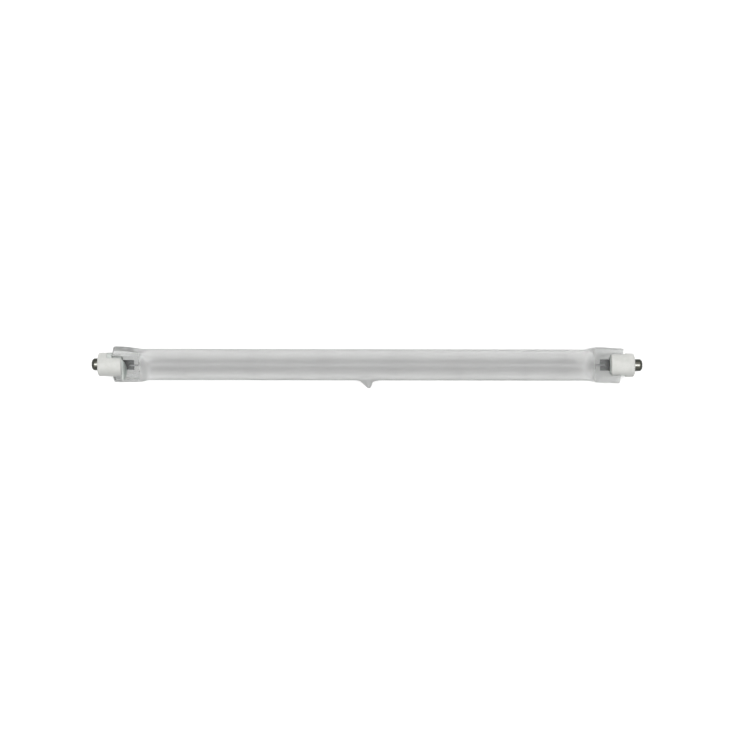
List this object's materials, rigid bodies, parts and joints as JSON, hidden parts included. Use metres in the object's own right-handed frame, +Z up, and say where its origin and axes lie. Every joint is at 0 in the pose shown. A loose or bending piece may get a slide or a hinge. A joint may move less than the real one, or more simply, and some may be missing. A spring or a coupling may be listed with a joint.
{
  "type": "halogen heater tube",
  "caption": "Straight halogen heater lamp: a frosted quartz tube with a coiled filament, a flat pinch seal and a round ceramic cap with a contact button at each end.",
  "frame": {"origin": "on the floor, under the middle of the lamp as it lies", "axes": "+X along the lamp's axis towards the end with the shorter coil tail, +Z up, the exhaust tip pointing towards -Y and a little down"},
  "size_m": [0.195, 0.0144, 0.0111],
  "materials": {
    "frosted_quartz": "satin frosted, clear and fire-polished at the pinches",
    "coil_wire": "dull drawn tungsten",
    "support_wire": "dull drawn tungsten",
    "lead_wire": "drawn molybdenum",
    "sealing_foil": "etched foil, slightly wrinkled",
    "ceramic": "unglazed, off-white",
    "contact_metal": "turned nickel",
    "cement": "matt, slightly rough"
  },
  "bodies": {
    "root": {"quartz_envelope": "frosted_quartz", "filament": "coil_wire", "filament_support_1": "support_wire", "filament_support_2": "support_wire", "filament_support_3": "support_wire", "filament_support_4": "support_wire", "filament_support_5": "support_wire", "filament_support_6": "support_wire", "filament_support_7": "support_wire", "left_inner_lead": "lead_wire", "right_inner_lead": "lead_wire", "left_foil": "sealing_foil", "right_foil": "sealing_foil", "left_outer_lead": "lead_wire", "right_outer_lead": "lead_wire", "left_ceramic_cap": "ceramic", "right_ceramic_cap": "ceramic", "left_contact": "contact_metal", "right_contact": "contact_metal", "left_cement": "cement", "right_cement": "cement"}
  },
  "joints": []
}
